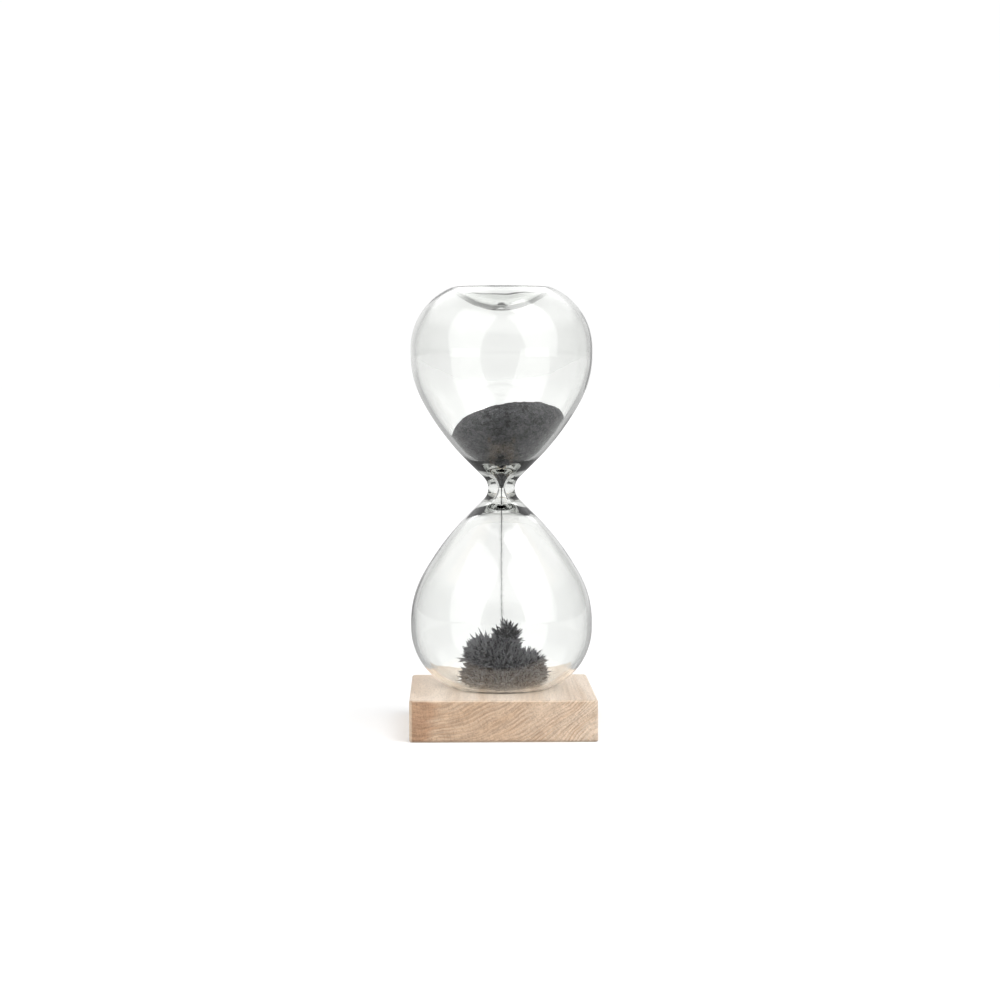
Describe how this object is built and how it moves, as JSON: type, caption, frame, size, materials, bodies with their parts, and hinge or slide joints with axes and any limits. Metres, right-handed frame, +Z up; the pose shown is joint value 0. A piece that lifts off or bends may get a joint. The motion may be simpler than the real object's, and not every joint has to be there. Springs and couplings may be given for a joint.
{
  "type": "hourglass",
  "caption": "Magnetic hourglass: a sealed clear double bulb of dark iron powder standing on a square wooden block with a hidden magnet, which makes the powder bristle.",
  "frame": {"origin": "centre of the wooden block's underside", "axes": "+Z up along the glass's axis, the front end-grain face of the block looks along -Y, +X to the right seen from the front"},
  "size_m": [0.06, 0.06, 0.145],
  "materials": {
    "wood": "pale pinkish-beige wood, sanded, thin matt oil; end grain on the front and back",
    "ferrite": "dark grey sintered ferrite, ground faces",
    "felt": "thin black felt",
    "glass": "clear lamp-worked borosilicate glass, polished",
    "iron_powder": null
  },
  "bodies": {
    "base": {"base_block": "wood", "magnet": "ferrite", "base_pad": "felt"},
    "glass": {"lower_bulb": "glass", "neck": "glass", "upper_bulb": "glass", "fill_port_seal": "glass", "upper_powder": "iron_powder", "powder_stream": "iron_powder", "powder_pile": "iron_powder"}
  },
  "joints": [
    {"name": "glass_lift", "type": "slide", "parent": "base", "child": "glass", "axis": [0, 0, 1], "range_m": [0, 0.06]}
  ]
}
